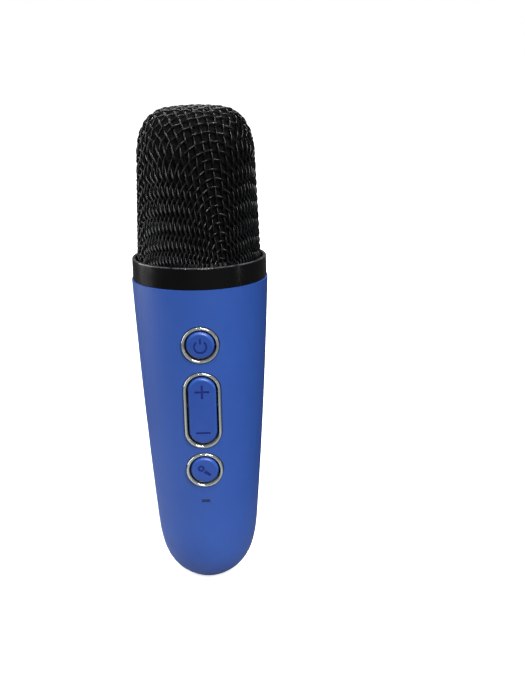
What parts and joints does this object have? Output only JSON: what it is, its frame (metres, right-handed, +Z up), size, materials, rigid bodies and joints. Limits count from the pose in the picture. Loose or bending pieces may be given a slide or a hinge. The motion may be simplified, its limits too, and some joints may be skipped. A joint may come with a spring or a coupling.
{
  "type": "karaoke microphone",
  "caption": "Hand-held wireless karaoke microphone with a domed wire-mesh head, black collar and tapered blue handle with power, volume and voice controls.",
  "frame": {"origin": "middle of the small flat at the bottom of the handle, where the charging port opens", "axes": "+Z up the handle to the head, -Y the front with the controls, +X to the right seen from the front"},
  "size_m": [0.0402, 0.0401, 0.1451],
  "materials": {
    "handle_blue": "matte",
    "cap_blue": "satin",
    "bright_ring": "polished",
    "collar_black": "gloss",
    "mesh_black": "satin",
    "plated_steel": "satin",
    "foam_black": "matte",
    "rubber_black": "matte",
    "black_plastic": "matte",
    "board_green": "satin",
    "capsule_metal": "satin",
    "cell_wrap": "gloss",
    "lead_red": "satin",
    "clear_guide": "gloss",
    "lamp_white": "gloss",
    "connector_white": "satin"
  },
  "bodies": {
    "microphone": {"front_shell": "handle_blue", "rear_shell": "handle_blue", "power_bezel": "bright_ring", "volume_bezel": "bright_ring", "voice_bezel": "bright_ring", "collar_ring": "collar_black", "grille_mesh": "mesh_black", "grille_base_ring": "plated_steel", "foam_windscreen": "foam_black", "capsule_carrier": "black_plastic", "capsule_boot": "rubber_black", "mic_capsule": "capsule_metal", "capsule_leads": "lead_red", "main_board": "board_green", "board_screws": "plated_steel", "power_switch": "black_plastic", "volume_up_switch": "black_plastic", "volume_down_switch": "black_plastic", "voice_switch": "black_plastic", "indicator_led": "lamp_white", "indicator_lens": "clear_guide", "radio_shield": "plated_steel", "board_chips": "black_plastic", "battery_connector": "connector_white", "battery_cell": "cell_wrap", "battery_tray": "black_plastic", "battery_pad": "foam_black", "battery_leads": "lead_red", "charge_board": "board_green", "charge_port": "plated_steel", "port_tongue": "black_plastic", "charge_leads": "lead_red"},
    "power_button": {"power_button": "cap_blue", "power_plunger": "black_plastic"},
    "voice_button": {"voice_button": "cap_blue", "voice_plunger": "black_plastic"},
    "volume_rocker": {"volume_rocker": "cap_blue"},
    "volume_up_plunger": {"volume_up_plunger": "black_plastic"},
    "volume_down_plunger": {"volume_down_plunger": "black_plastic"}
  },
  "joints": [
    {"name": "power_press", "type": "slide", "parent": "microphone", "child": "power_button", "axis": [0, 0.9984, 0.057], "range_m": [0, 0.0004], "stiffness_N_per_m": 400, "springref_m": -0.0005},
    {"name": "voice_press", "type": "slide", "parent": "microphone", "child": "voice_button", "axis": [0, 0.9984, 0.057], "range_m": [0, 0.0004], "stiffness_N_per_m": 400, "springref_m": -0.0005},
    {"name": "volume_tilt", "type": "hinge", "parent": "microphone", "child": "volume_rocker", "pos_m": [0, -0.01385, 0.05975], "axis": [1, 0, 0], "range_deg": [-2, 2], "stiffness_Nm_per_rad": 0.05},
    {"name": "volume_up_press", "type": "slide", "parent": "microphone", "child": "volume_up_plunger", "axis": [0, 0.9984, 0.057], "range_m": [-0.0002453, 0.0002453]},
    {"name": "volume_down_press", "type": "slide", "parent": "microphone", "child": "volume_down_plunger", "axis": [0, 0.9984, 0.057], "range_m": [-0.0002453, 0.0002453]}
  ],
  "couplings": [
    {"joint": "volume_up_press", "follows": "volume_tilt", "m_per_rad": -0.007},
    {"joint": "volume_down_press", "follows": "volume_tilt", "m_per_rad": 0.007}
  ]
}
